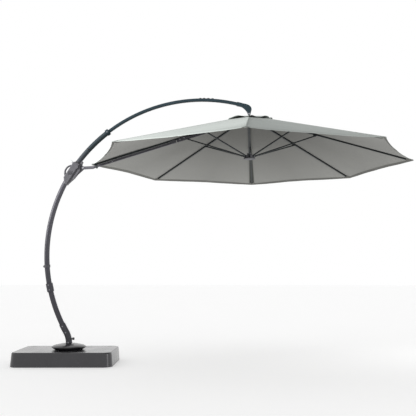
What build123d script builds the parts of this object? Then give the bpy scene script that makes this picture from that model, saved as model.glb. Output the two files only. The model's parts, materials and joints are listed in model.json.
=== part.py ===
from build123d import *
from math import acos, atan2, cos, degrees, hypot, radians, sin, sqrt, tan
import os

# A cantilever parasol, open. Millimetres, +Z up. The origin is on the floor, on the swivel axis of the
# mast. The mast, boom and canopy centre lie in the XZ plane, and the canopy hangs towards +X.

# ---- driving dimensions ------------------------------------------------------------------------------

# Mast and boom follow one circular arc. Angles on it run from +X towards +Z.
ARC_X = 1210
ARC_Z = 1024
ARC_RADIUS = 1440
MAST_RADIUS = 24
MAST_WALL = 3
FOOT_BEND_RADIUS = 200
FOOT_BOTTOM = 141.3
JOINT_ANGLE = 193
STOP_ANGLE = 185
MAST_TOP_ANGLE = 127.4
BOOM_END_ANGLE = 73.2
BOOM_HEIGHT = 28
BOOM_WIDTH = 38
BOOM_WALL = 2.5

# Base tank, turned a little under the mast
BASE_TURN = 5
BASE_CENTRE = (-25, 33)
BASE_LENGTH = 916
BASE_DEPTH = 650
BASE_HEIGHT = 127
BASE_FLOOR = 3
BASE_WALL = 8
BASE_CORNER = 85
BASE_TOP_ROUND = 13
BASE_DRAFT = 5
FILL_HOLE = 25
FILL_INSET = 95
SPINDLE_RADIUS = 26
SPINDLE_FLANGE = 70
BUSH_RADIUS = 34
WELL_RADIUS = 75
FLANGE_Z = 133.3
FLANGE_HEIGHT = 8
DOME_RADIUS = 160
DOME_SKIRT = 128
DOME_EDGE = 158
DOME_TOP = 192
DOME_MOUTH = 30
DOME_THICKNESS = 3.5
FOOT_WALL = 5
KNOB_Z = 229
KNOB_RADIUS = 13

# Canopy: a regular octagon on eight ribs. Rib 1 points back at the mast.
RIB_COUNT = 8
CANOPY_X = 1680
CANOPY_RADIUS = 1500
SCALLOP = 38
CLOTH = 1.6
RIB_SLOPE = 16.5
HINGE_RADIUS = 36
CROWN_Z = 2284
TILT_Z = 2318
RIB_END_RADIUS = 1470
RIB_TOP = 7
CLOTH_GAP = 2.4
RIB_WIDTH = 12
RIB_BOTTOM = 7
RAIL_WIDTH = 16
RAIL_BOTTOM = 9
TUBE_WALL = 1.5
EYE_RADIUS = 6.5
PIN_RADIUS = 3
RUNNING = 0.06
STRUT_AT = 600
STRUT_DROP = 15
STRUT_WIDTH = 10
STRUT_HEIGHT = 11
LUG_PLATE = 2.5
HUB_RADIUS = 50
HUB_CORE = 24
HUB_HEIGHT = 20
VENT_RADIUS = 220
APEX_HOLE = 16

# Carriage that slides on the mast, and the support arm from it to rib 1
CARRIAGE_ANGLE = 147.5
ARM_PIVOT_X = 103
ARM_PIVOT_Z = 1828
SHELL_HALF_DEPTH = 33
SHELL_OUT = 31
SHELL_TOP = 84
SHELL_BOTTOM = -138
SPLIT_GAP = 0.2
LINER_OUTER = 26.6
LINER_INNER = 24.4
EAR_RADIUS = 14
EAR_HALF = 8.6
ARM_WIDTH = 18
ARM_HEIGHT = 20
ARM_DROP = 23
ARM_INNER_END = 687
ARM_PIN_RADIUS = 6
CHEEK_LENGTH = 84
CHEEK_TAIL = 18
CHEEK_RADIUS = 12
LEVER_PIVOT = (39, 74)
LEVER_TIP = (69, 86)
LEVER_GAP = 8
BADGE_RADIUS = 21
GRIP_BARS = 5
GRIP_BAR_PITCH = 9
LOOP_HALF_DEPTH = 10

# Collar at the top of the mast, and the horn that hangs from the boom's end
COLLAR_LENGTH = 1.2
COLLAR_EXTRA = 7
HORN_HALF_WIDTH = 17
HORN_EYE = 12

# Screws on the front of the mast: angle on the arc, and how far the surface stands out from the tube
SCREWS = ((208.3, 5.05), (193.9, 8.05), (192.1, 8.05), (137.2, 0.05), (127.5, 7.05))

ARC_AXIS = Axis((ARC_X, 0, ARC_Z), (0, 1, 0))

os.makedirs("parts", exist_ok=True)


# ---- shared geometry ---------------------------------------------------------------------------------

def save(part, name):
    """Label one finished sub-part and write it to its own file."""
    part.label = name
    export_step(part, f"parts/{name}.step")


def on_arc(angle, radius=ARC_RADIUS):
    """Point at this angle round the centre of the mast's arc."""
    return Vector(ARC_X + radius * cos(radians(angle)), 0, ARC_Z + radius * sin(radians(angle)))


def side_point(angle, radius):
    """The same point as X and Z only, for sketches on the XZ plane."""
    point = on_arc(angle, radius)
    return (point.X, point.Z)


def section_plane(angle):
    """Plane across the arc: x outward, y sideways, origin on the mast's centre line."""
    outward = (cos(radians(angle)), 0, sin(radians(angle)))
    along = (-sin(radians(angle)), 0, cos(radians(angle)))
    return Plane(origin=on_arc(angle), x_dir=outward, z_dir=along)


def side_plane(angle):
    """Plane seen from the side: x outward, y up along the mast, normal towards the back."""
    outward = (cos(radians(angle)), 0, sin(radians(angle)))
    return Plane(origin=on_arc(angle), x_dir=outward, z_dir=(0, 1, 0))


def arc_tube(start, end, outer, inner=None):
    """Round tube that follows the arc between two angles, or a round bar with no inner radius."""
    with BuildPart() as tube:
        with BuildSketch(section_plane(start)):
            Circle(outer)
            if inner:
                Circle(inner, mode=Mode.SUBTRACT)
        revolve(axis=ARC_AXIS, revolution_arc=start - end)
    return tube.part


def rib_angle(index):
    """Direction of rib number index + 1, seen from above; rib 1 points at the mast."""
    return radians(180 + 360 / RIB_COUNT * index)


def radial_point(index, radius, height):
    """Point at this radius from the canopy's axis, under rib number index + 1."""
    angle = rib_angle(index)
    return Vector(CANOPY_X + radius * cos(angle), radius * sin(angle), height)


def radial_plane(index, slope, radius, height):
    """Side view of a rib: origin at a point, x outward and down by slope, y up, z sideways."""
    angle = rib_angle(index)
    level = cos(radians(slope))
    x_dir = (cos(angle) * level, sin(angle) * level, -sin(radians(slope)))
    return Plane(origin=radial_point(index, radius, height), x_dir=x_dir, z_dir=(sin(angle), -cos(angle), 0))


def rib_plane(index):
    return radial_plane(index, RIB_SLOPE, HINGE_RADIUS, CROWN_Z)


# ---- worked-out places -------------------------------------------------------------------------------

# The foot bends from a vertical line through the origin onto the mast's arc.
bend_reach = ARC_RADIUS + FOOT_BEND_RADIUS
bend_centre_z = ARC_Z - sqrt(bend_reach**2 - (ARC_X + FOOT_BEND_RADIUS) ** 2)
bend_turn = degrees(acos((ARC_X + FOOT_BEND_RADIUS) / bend_reach))
foot_arc_angle = 180 + bend_turn

# Each strut is as long as the line from its rib's hinge to its own joint, so the runner hinges lie
# straight below the crown hinges at every stage of folding.
joint_reach = hypot(STRUT_AT, STRUT_DROP)
joint_slope = RIB_SLOPE + degrees(atan2(STRUT_DROP, STRUT_AT))
runner_z = CROWN_Z - 2 * joint_reach * sin(radians(joint_slope))
joint_radius = HINGE_RADIUS + joint_reach * cos(radians(joint_slope))
joint_z = CROWN_Z - joint_reach * sin(radians(joint_slope))

rib_length = (RIB_END_RADIUS - HINGE_RADIUS) / cos(radians(RIB_SLOPE))
cloth_under = RIB_TOP + CLOTH_GAP
rib_rise = tan(radians(RIB_SLOPE))
apex_under = CROWN_Z + HINGE_RADIUS * rib_rise + cloth_under / cos(radians(RIB_SLOPE))
apex_top = apex_under + CLOTH / cos(radians(RIB_SLOPE))

carriage = side_plane(CARRIAGE_ANGLE)
arm_pivot = carriage.to_local_coords(Vector(ARM_PIVOT_X, 0, ARM_PIVOT_Z))
arm = rib_plane(0)
arm_knuckle_at = arm.to_local_coords(Vector(ARM_PIVOT_X, 0, ARM_PIVOT_Z))
base = Plane(origin=(*BASE_CENTRE, 0), x_dir=(cos(radians(BASE_TURN)), sin(radians(BASE_TURN)), 0))
base_well = base.to_local_coords(Vector(0, 0, 0))


# ---- base --------------------------------------------------------------------------------------------

feet_spots = GridLocations(BASE_LENGTH - 130, BASE_DEPTH - 130, 2, 2)
cap_x = BASE_LENGTH / 2 - FILL_INSET
cap_y = BASE_DEPTH / 2 - FILL_INSET
cap_spots = [(-cap_x, cap_y), (cap_x, cap_y)]
tank_bottom = base.offset(BASE_FLOOR)
inner_height = BASE_HEIGHT - 2 * BASE_WALL
inner_length = BASE_LENGTH - 2 * BASE_WALL
inner_depth = BASE_DEPTH - 2 * BASE_WALL

with BuildPart() as base_tank:
    with BuildSketch(tank_bottom):
        RectangleRounded(BASE_LENGTH, BASE_DEPTH, BASE_CORNER)
    extrude(amount=BASE_HEIGHT, taper=BASE_DRAFT)
    fillet(base_tank.faces().sort_by(Axis.Z)[-1].edges(), radius=BASE_TOP_ROUND)
    with BuildSketch(tank_bottom.offset(BASE_WALL)):
        RectangleRounded(inner_length, inner_depth, BASE_CORNER - BASE_WALL)
        with Locations((base_well.X, base_well.Y)):
            Circle(WELL_RADIUS, mode=Mode.SUBTRACT)
    extrude(amount=inner_height, taper=BASE_DRAFT, mode=Mode.SUBTRACT)
    with BuildSketch(tank_bottom):
        with Locations((base_well.X, base_well.Y)):
            Circle(BUSH_RADIUS)
    extrude(amount=BASE_HEIGHT, mode=Mode.SUBTRACT)
    with BuildSketch(tank_bottom.offset(BASE_HEIGHT)):
        with Locations(*cap_spots):
            Circle(FILL_HOLE)
    extrude(amount=-2 * BASE_WALL, mode=Mode.SUBTRACT)
save(base_tank.part, "base_tank")

with BuildPart() as base_ballast:
    with BuildSketch(tank_bottom.offset(BASE_WALL + 0.5)):
        RectangleRounded(inner_length - 2, inner_depth - 2, BASE_CORNER - BASE_WALL)
        with Locations((base_well.X, base_well.Y)):
            Circle(WELL_RADIUS + 12, mode=Mode.SUBTRACT)
    extrude(amount=inner_height - 14, taper=BASE_DRAFT)
save(base_ballast.part, "base_ballast")

with BuildPart() as base_feet:
    with BuildSketch(base):
        with feet_spots:
            Circle(28)
        with Locations((base_well.X, base_well.Y)):
            Circle(60)
    extrude(amount=BASE_FLOOR)
    chamfer(base_feet.faces().sort_by(Axis.Z)[:5].edges(), length=1.5)
save(base_feet.part, "base_feet")

with BuildPart() as fill_caps:
    with BuildSketch(tank_bottom.offset(BASE_HEIGHT - BASE_WALL)):
        with Locations(*cap_spots):
            Circle(FILL_HOLE - 0.3)
    extrude(amount=BASE_WALL)
    fillet(fill_caps.faces().sort_by(Axis.Z)[-2:].edges(), radius=0.8)
    with BuildSketch(tank_bottom.offset(BASE_HEIGHT)):
        with Locations(*cap_spots):
            RectangleRounded(30, 5, 2)
    extrude(amount=-2, mode=Mode.SUBTRACT)
save(fill_caps.part, "fill_caps")

with BuildPart() as swivel_bush:
    with BuildSketch(Plane.XY.offset(BASE_FLOOR)):
        Circle(BUSH_RADIUS)
    extrude(amount=BASE_HEIGHT)
    with BuildSketch(Plane.XY.offset(BASE_FLOOR + BASE_HEIGHT)):
        Circle(BUSH_RADIUS + 14)
    extrude(amount=3)
    with BuildSketch(Plane.XY.offset(BASE_FLOOR + 12)):
        Circle(SPINDLE_RADIUS + RUNNING)
    extrude(amount=BASE_HEIGHT, mode=Mode.SUBTRACT)
save(swivel_bush.part, "swivel_bush")


# ---- swivel, foot and mast ---------------------------------------------------------------------------

with BuildPart() as swivel_spindle:
    with BuildSketch(Plane.XY.offset(BASE_FLOOR + 13)):
        Circle(SPINDLE_RADIUS)
    extrude(amount=FLANGE_Z - BASE_FLOOR - 13)
    with BuildSketch(Plane.XY.offset(FLANGE_Z)):
        Circle(SPINDLE_FLANGE)
    extrude(amount=FLANGE_HEIGHT)
    fillet(swivel_spindle.faces().sort_by(Axis.Z)[-1].edges(), radius=2)
save(swivel_spindle.part, "swivel_spindle")

dome_bottom = FLANGE_Z - 0.8
with BuildPart() as dome_cover:
    with BuildSketch(Plane.XZ):
        with BuildLine():
            skirt = Polyline(
                (DOME_SKIRT, dome_bottom),
                (DOME_RADIUS - 3, DOME_EDGE - 5),
                (DOME_RADIUS, DOME_EDGE),
            )
            crown = Spline(
                skirt @ 1,
                (0.62 * DOME_RADIUS, DOME_TOP - 11),
                (DOME_MOUTH, DOME_TOP),
                tangents=[(-0.6, 0.6), (-1, 0.1)],
            )
            Polyline(
                crown @ 1,
                (DOME_MOUTH, DOME_TOP - DOME_THICKNESS),
                (0.61 * DOME_RADIUS, DOME_TOP - 11 - DOME_THICKNESS),
                (DOME_RADIUS - 11, DOME_EDGE - 2),
                (DOME_SKIRT - DOME_THICKNESS, dome_bottom),
                skirt @ 0,
            )
        make_face()
    revolve(axis=Axis.Z)
save(dome_cover.part, "dome_cover")

with BuildPart() as mast_foot:
    with BuildLine() as foot_line:
        straight = Line((0, 0, FOOT_BOTTOM), (0, 0, bend_centre_z))
        half_turn = radians(bend_turn / 2)
        ThreePointArc(
            straight @ 1,
            (FOOT_BEND_RADIUS * (cos(half_turn) - 1), 0, bend_centre_z + FOOT_BEND_RADIUS * sin(half_turn)),
            on_arc(foot_arc_angle),
        )
    with BuildSketch(Plane.XY.offset(FOOT_BOTTOM)):
        Circle(MAST_RADIUS + FOOT_WALL)
        Circle(MAST_RADIUS - 4, mode=Mode.SUBTRACT)
    sweep(path=foot_line.line)
    add(arc_tube(foot_arc_angle, foot_arc_angle - 3.4, MAST_RADIUS + FOOT_WALL, MAST_RADIUS))
save(mast_foot.part, "mast_foot")

with BuildPart() as lower_mast:
    add(arc_tube(foot_arc_angle - 0.1, JOINT_ANGLE + 0.02, MAST_RADIUS, MAST_RADIUS - MAST_WALL))
save(lower_mast.part, "lower_mast")

with BuildPart() as joint_sleeve:
    add(arc_tube(JOINT_ANGLE + 1.6, JOINT_ANGLE - 1.6, MAST_RADIUS + 8, MAST_RADIUS))
    fillet(joint_sleeve.edges().group_by(SortBy.LENGTH)[-1], radius=3)
save(joint_sleeve.part, "joint_sleeve")

with BuildPart() as upper_mast:
    add(arc_tube(JOINT_ANGLE - 0.02, MAST_TOP_ANGLE, MAST_RADIUS, MAST_RADIUS - MAST_WALL))
save(upper_mast.part, "upper_mast")

with BuildPart() as stop_ring:
    add(arc_tube(STOP_ANGLE + 0.5, STOP_ANGLE - 0.5, MAST_RADIUS + 5, MAST_RADIUS))
    with BuildSketch(section_plane(STOP_ANGLE + 0.3)):
        with Locations((MAST_RADIUS + 6, 0)):
            Rectangle(12, 12)
    revolve(axis=ARC_AXIS, revolution_arc=0.6)
save(stop_ring.part, "stop_ring")


def screw_on_arc(angle, surface):
    """Round screw head on the front of the mast's arc, standing out from this distance."""
    with BuildPart() as screw:
        with BuildSketch(Plane(origin=on_arc(angle) - Vector(0, surface, 0), z_dir=(0, -1, 0))):
            Circle(5)
        extrude(amount=3)
    return screw.part


with BuildPart() as mast_screws:
    for angle, surface in SCREWS:
        add(screw_on_arc(angle, MAST_RADIUS + surface))
save(mast_screws.part, "mast_screws")

with BuildPart() as clamp_knob:
    with BuildSketch(Plane.YZ.offset(26.8)):
        with Locations((0, KNOB_Z)):
            Circle(4)
    extrude(amount=8)
    with BuildSketch(Plane.YZ.offset(32)):
        with Locations((0, KNOB_Z)):
            RegularPolygon(KNOB_RADIUS, 6)
    extrude(amount=17)
    fillet(clamp_knob.edges().filter_by(Axis.X), radius=2.5)
save(clamp_knob.part, "clamp_knob")


# ---- boom and its end --------------------------------------------------------------------------------

def boom_outline(mode=Mode.ADD):
    """Outline of the boom's tube, drawn in the current sketch."""
    return RectangleRounded(BOOM_HEIGHT, BOOM_WIDTH, 9, mode=mode)


with BuildPart() as boom:
    with BuildSketch(section_plane(MAST_TOP_ANGLE - 0.02)):
        boom_outline()
        offset(amount=-BOOM_WALL, mode=Mode.SUBTRACT)
    revolve(axis=ARC_AXIS, revolution_arc=MAST_TOP_ANGLE - 0.02 - BOOM_END_ANGLE)
save(boom.part, "boom")

with BuildPart() as boom_collar:
    add(arc_tube(MAST_TOP_ANGLE + COLLAR_LENGTH / 2, MAST_TOP_ANGLE, MAST_RADIUS + COLLAR_EXTRA, MAST_RADIUS))
    with BuildSketch(section_plane(MAST_TOP_ANGLE)):
        Circle(MAST_RADIUS + COLLAR_EXTRA)
        boom_outline(mode=Mode.SUBTRACT)
    revolve(axis=ARC_AXIS, revolution_arc=COLLAR_LENGTH / 2)
save(boom_collar.part, "boom_collar")

with BuildPart() as boom_elbow:
    with BuildSketch(Plane.XZ):
        with BuildLine():
            upper = ThreePointArc(
                side_point(BOOM_END_ANGLE + 2.5, ARC_RADIUS + 17),
                side_point(BOOM_END_ANGLE + 1.5, ARC_RADIUS + 17),
                side_point(BOOM_END_ANGLE + 0.4, ARC_RADIUS + 17),
            )
            back = Spline(
                upper @ 1,
                (CANOPY_X - 2, TILT_Z + 85),
                (CANOPY_X + 22, TILT_Z + 58),
                (CANOPY_X + HORN_EYE, TILT_Z),
                tangents=[upper % 1, (-0.15, -1)],
            )
            mouth = ThreePointArc(back @ 1, (CANOPY_X, TILT_Z - HORN_EYE), (CANOPY_X - HORN_EYE, TILT_Z))
            under = Spline(
                mouth @ 1,
                (CANOPY_X - 29, TILT_Z + 34),
                side_point(BOOM_END_ANGLE + 0.4, ARC_RADIUS - 17.5),
                side_point(BOOM_END_ANGLE + 2.5, ARC_RADIUS - 17),
                tangents=[(-0.2, 1), (-1, 0.28)],
            )
            Line(under @ 1, upper @ 0)
        make_face()
    extrude(amount=HORN_HALF_WIDTH, both=True)
    with BuildSketch(section_plane(BOOM_END_ANGLE + 4)):
        boom_outline()
    revolve(axis=ARC_AXIS, revolution_arc=4, mode=Mode.SUBTRACT)
    with BuildSketch(Plane.XZ):
        with Locations((CANOPY_X, TILT_Z)):
            Circle(ARM_PIN_RADIUS)
    extrude(amount=2 * HORN_HALF_WIDTH, both=True, mode=Mode.SUBTRACT)
    with BuildSketch(Plane.XZ):
        with Locations((CANOPY_X, TILT_Z - 4)):
            Rectangle(60, 36)
    extrude(amount=6, both=True, mode=Mode.SUBTRACT)
save(boom_elbow.part, "boom_elbow")

with BuildPart() as tilt_pin:
    with BuildSketch(Plane.XZ):
        with Locations((CANOPY_X, TILT_Z)):
            Circle(ARM_PIN_RADIUS)
    extrude(amount=HORN_HALF_WIDTH + 1, both=True)
    with BuildSketch(Plane.XZ.offset(HORN_HALF_WIDTH + 0.2)):
        with Locations((CANOPY_X, TILT_Z)):
            Circle(9)
    extrude(amount=3)
save(tilt_pin.part, "tilt_pin")


# ---- crown and runner --------------------------------------------------------------------------------

def rib_width(index):
    return RAIL_WIDTH if index == 0 else RIB_WIDTH


def hub_slots(pin_height):
    """Eight radial slots, one for each rib or strut, as solids to cut from a hub."""
    with BuildPart() as slots:
        for index in range(RIB_COUNT):
            with BuildSketch(radial_plane(index, 0, 0, pin_height)):
                with Locations((HUB_CORE + HUB_RADIUS, 0)):
                    Rectangle(2 * HUB_RADIUS, 4 * HUB_HEIGHT)
            extrude(amount=rib_width(index) / 2 + 0.4, both=True)
    return slots.part


def hub_pins(pin_height):
    """Eight hinge pins, one across each slot of a hub."""
    with BuildPart() as pins:
        for index in range(RIB_COUNT):
            with BuildSketch(radial_plane(index, 0, HINGE_RADIUS, pin_height)):
                Circle(PIN_RADIUS)
            extrude(amount=rib_width(index) / 2 + 3.4, both=True)
    return pins.part


with BuildPart() as crown_hub:
    with BuildSketch(Plane.XZ):
        with BuildLine():
            Polyline(
                (CANOPY_X, CROWN_Z - 12),
                (CANOPY_X + HUB_RADIUS - 4, CROWN_Z - 12),
                (CANOPY_X + HUB_RADIUS, CROWN_Z - 8),
                (CANOPY_X + HUB_RADIUS, apex_under - 1.5 - HUB_RADIUS * rib_rise),
                (CANOPY_X + APEX_HOLE, apex_under - 1.5 - APEX_HOLE * rib_rise),
                (CANOPY_X, apex_under - 1.5 - APEX_HOLE * rib_rise),
                (CANOPY_X, CROWN_Z - 12),
            )
        make_face()
    revolve(axis=Axis((CANOPY_X, 0, 0), (0, 0, 1)))
    add(hub_slots(CROWN_Z), mode=Mode.SUBTRACT)
    add(hub_pins(CROWN_Z), mode=Mode.SUBTRACT)
    with BuildSketch(Plane.XZ):
        with Locations((CANOPY_X, (TILT_Z + CROWN_Z) / 2)):
            Rectangle(18, TILT_Z - CROWN_Z)
        with Locations((CANOPY_X, TILT_Z)):
            Circle(10)
            Circle(ARM_PIN_RADIUS + RUNNING, mode=Mode.SUBTRACT)
    extrude(amount=5.6, both=True)
save(crown_hub.part, "crown_hub")

with BuildPart() as crown_pins:
    add(hub_pins(CROWN_Z))
save(crown_pins.part, "crown_pins")

with BuildPart() as runner_hub:
    with BuildSketch(Plane.XY.offset(runner_z - HUB_HEIGHT / 2)):
        with Locations((CANOPY_X, 0)):
            Circle(HUB_RADIUS)
    extrude(amount=HUB_HEIGHT)
    chamfer(runner_hub.faces().sort_by(Axis.Z)[-1].edges(), length=3)
    add(hub_slots(runner_z), mode=Mode.SUBTRACT)
    add(hub_pins(runner_z))
    with BuildSketch(Plane.XY.offset(runner_z - HUB_HEIGHT / 2 - 6)):
        with Locations((CANOPY_X, 0)):
            Circle(HUB_CORE - 3)
    extrude(amount=HUB_HEIGHT + 26)
save(runner_hub.part, "runner_hub")

with BuildPart() as runner_disc:
    with BuildSketch(Plane.XY.offset(runner_z - HUB_HEIGHT / 2 - 15)):
        with Locations((CANOPY_X, 0)):
            Circle(HUB_RADIUS + 4)
    extrude(amount=9)
    fillet(runner_disc.faces().sort_by(Axis.Z)[0].edges(), radius=4)
save(runner_disc.part, "runner_disc")


# ---- ribs, struts and canopy -------------------------------------------------------------------------

def build_rib(plane, width, bottom):
    """Hollow rib with a round eye at the crown and a pair of lugs for its strut."""
    with BuildPart() as rib:
        with BuildSketch(plane):
            with Locations(((rib_length + EYE_RADIUS) / 2, (RIB_TOP - bottom) / 2)):
                Rectangle(rib_length - EYE_RADIUS, RIB_TOP + bottom)
            Circle(RIB_TOP)
            with Locations((EYE_RADIUS, 0)):
                Rectangle(2 * EYE_RADIUS, 2 * RIB_TOP)
        extrude(amount=width / 2, both=True)
        with BuildSketch(plane):
            with Locations((rib_length / 2 + 20, (RIB_TOP - bottom) / 2)):
                Rectangle(rib_length, RIB_TOP + bottom - 2 * TUBE_WALL)
        extrude(amount=width / 2 - TUBE_WALL, both=True, mode=Mode.SUBTRACT)
        with BuildSketch(plane):
            with Locations((STRUT_AT, -bottom / 2)):
                Rectangle(40, bottom)
            with Locations((STRUT_AT, -STRUT_DROP)):
                Circle(EYE_RADIUS)
            make_hull()
        extrude(amount=width / 2 + LUG_PLATE, both=True)
        with BuildSketch(plane):
            with Locations((STRUT_AT, (RIB_TOP - bottom) / 2)):
                Rectangle(60, RIB_TOP + bottom - 2 * TUBE_WALL)
        extrude(amount=width / 2 - TUBE_WALL, both=True, mode=Mode.SUBTRACT)
        with BuildSketch(plane):
            with Locations((STRUT_AT, -bottom - 20)):
                Rectangle(60, 40)
        extrude(amount=STRUT_WIDTH / 2 + 0.5, both=True, mode=Mode.SUBTRACT)
        with BuildSketch(plane):
            with Locations((STRUT_AT, -STRUT_DROP)):
                Circle(PIN_RADIUS)
        extrude(amount=width / 2 + LUG_PLATE + 1, both=True)
        with BuildSketch(plane):
            Circle(PIN_RADIUS + RUNNING)
        extrude(amount=width, both=True, mode=Mode.SUBTRACT)
    return rib.part


def build_strut(index):
    """Flat bar from the joint under a rib down to the runner, with a round eye at each end."""
    plane = radial_plane(index, 180 - joint_slope, joint_radius, joint_z)
    with BuildPart() as strut:
        with BuildSketch(plane):
            with Locations((joint_reach / 2, 0)):
                SlotCenterToCenter(joint_reach, STRUT_HEIGHT)
            with Locations((0, 0), (joint_reach, 0)):
                Circle(PIN_RADIUS + RUNNING, mode=Mode.SUBTRACT)
        extrude(amount=STRUT_WIDTH / 2, both=True)
    return strut.part


def build_panel(index):
    """One gore of the canopy: the cloth over one rib, out to the seams on each side of it."""
    slice_angle = 180 / RIB_COUNT
    seam_radius = CANOPY_RADIUS * cos(radians(slice_angle)) - SCALLOP
    turn = degrees(rib_angle(index))
    ground = Plane(origin=(CANOPY_X, 0, apex_top - CANOPY_RADIUS), z_dir=(0, 0, 1)).rotated((0, 0, turn))
    with BuildPart() as panel:
        with BuildSketch(ground):
            with BuildLine():
                tip = Vector(CANOPY_RADIUS, 0)
                left_tip = tip.rotate(Axis.Z, 2 * slice_angle)
                right_tip = tip.rotate(Axis.Z, -2 * slice_angle)
                ThreePointArc(right_tip, Vector(seam_radius, 0).rotate(Axis.Z, -slice_angle), tip)
                ThreePointArc(tip, Vector(seam_radius, 0).rotate(Axis.Z, slice_angle), left_tip)
                Polyline(left_tip, (0, 0), right_tip)
            make_face()
            with BuildLine():
                far = 2 * CANOPY_RADIUS * tan(radians(slice_angle))
                Polyline((0, 0), (2 * CANOPY_RADIUS, far), (2 * CANOPY_RADIUS, -far), (0, 0))
            make_face(mode=Mode.INTERSECT)
            Circle(APEX_HOLE, mode=Mode.SUBTRACT)
        extrude(amount=2 * CANOPY_RADIUS)
        for apex, mode in ((apex_top, Mode.INTERSECT), (apex_under, Mode.SUBTRACT)):
            for radius in (2, 1.1 * CANOPY_RADIUS):
                with BuildSketch(Plane((CANOPY_X, 0, apex - radius * rib_rise))):
                    RegularPolygon(radius, RIB_COUNT)
            loft(ruled=True, mode=mode)
    return panel.part


for rib_index in range(RIB_COUNT):
    rib_bottom = RAIL_BOTTOM if rib_index == 0 else RIB_BOTTOM
    save(build_rib(rib_plane(rib_index), rib_width(rib_index), rib_bottom), f"rib_{rib_index + 1}")
    save(build_strut(rib_index), f"strut_{rib_index + 1}")
    save(build_panel(rib_index), f"canopy_panel_{rib_index + 1}")

vent_lift = 12
with BuildPart() as vent_cap:
    with BuildSketch(Plane.XZ):
        with BuildLine():
            Polyline(
                (CANOPY_X + APEX_HOLE, apex_top + 0.6 - APEX_HOLE * rib_rise),
                (CANOPY_X + VENT_RADIUS, apex_top + vent_lift - VENT_RADIUS * rib_rise),
                (CANOPY_X + VENT_RADIUS, apex_top + vent_lift + CLOTH - VENT_RADIUS * rib_rise),
                (CANOPY_X + APEX_HOLE, apex_top + 0.6 + CLOTH - APEX_HOLE * rib_rise),
                (CANOPY_X + APEX_HOLE, apex_top + 0.6 - APEX_HOLE * rib_rise),
            )
        make_face()
    revolve(axis=Axis((CANOPY_X, 0, 0), (0, 0, 1)))
save(vent_cap.part, "vent_cap")


# ---- support arm, with its guides on rib 1 -----------------------------------------------------------

arm_outer_end = arm_knuckle_at.X - CHEEK_LENGTH
arm_length = arm_outer_end - ARM_INNER_END

with BuildPart() as support_arm:
    with BuildSketch(arm):
        with Locations((ARM_INNER_END + arm_length / 2, -ARM_DROP)):
            Rectangle(arm_length, ARM_HEIGHT)
    extrude(amount=ARM_WIDTH / 2, both=True)
    fillet(support_arm.edges().filter_by(lambda edge: edge.length > arm_length - 1), radius=2.5)
    with BuildSketch(arm):
        with Locations((ARM_INNER_END + arm_length / 2, -ARM_DROP)):
            Rectangle(arm_length + 2, ARM_HEIGHT - 4)
    extrude(amount=ARM_WIDTH / 2 - 2, both=True, mode=Mode.SUBTRACT)
save(support_arm.part, "support_arm")

with BuildPart() as arm_knuckle:
    with BuildSketch(arm):
        with Locations((arm_knuckle_at.X, arm_knuckle_at.Y)):
            Circle(CHEEK_RADIUS)
        with Locations((arm_outer_end - CHEEK_TAIL / 2, -ARM_DROP)):
            Rectangle(CHEEK_TAIL, ARM_HEIGHT)
        make_hull()
        with Locations((arm_knuckle_at.X, arm_knuckle_at.Y)):
            Circle(ARM_PIN_RADIUS + RUNNING, mode=Mode.SUBTRACT)
    extrude(amount=ARM_WIDTH / 2 + 5, both=True)
    with BuildSketch(arm):
        with Locations((arm_outer_end, -ARM_DROP)):
            Rectangle(400, 200)
    extrude(amount=ARM_WIDTH / 2, both=True, mode=Mode.SUBTRACT)
save(arm_knuckle.part, "arm_knuckle")

with BuildPart() as slide_shoe:
    with BuildSketch(arm):
        with Locations((ARM_INNER_END + 26, -ARM_DROP / 2 - 6)):
            RectangleRounded(52, ARM_DROP + 8, 5)
    extrude(amount=ARM_WIDTH / 2 + 2.5, both=True)
    with BuildSketch(arm):
        with Locations((ARM_INNER_END + 26, 0)):
            Rectangle(120, 120)
    extrude(amount=ARM_WIDTH / 2, both=True, mode=Mode.SUBTRACT)
save(slide_shoe.part, "slide_shoe")

loop_side = ARM_WIDTH / 2 + 1
loop_at = rib_length - 14
with BuildPart() as tip_loop:
    with BuildSketch(arm):
        with Locations((loop_at, -17.5)):
            RectangleRounded(16, 47, 4)
    extrude(amount=loop_side + 2.5, both=True)
    with BuildSketch(arm):
        with Locations((loop_at, (RIB_TOP - RAIL_BOTTOM) / 2)):
            Rectangle(80, RIB_TOP + RAIL_BOTTOM)
    extrude(amount=RAIL_WIDTH / 2, both=True, mode=Mode.SUBTRACT)
    with BuildSketch(arm):
        with Locations((loop_at, -23.75)):
            Rectangle(80, 29.5)
    extrude(amount=loop_side, both=True, mode=Mode.SUBTRACT)
save(tip_loop.part, "tip_loop")


# ---- carriage ----------------------------------------------------------------------------------------

shell_inner = -34
ear_spot = (arm_pivot.X, arm_pivot.Y)
upright = degrees(atan2(ARC_Z - on_arc(CARRIAGE_ANGLE).Z, on_arc(CARRIAGE_ANGLE).X - ARC_X)) + 180


def outline(*points):
    """Flat shape with these corners, in the current sketch."""
    Polygon(*points, align=None)


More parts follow.
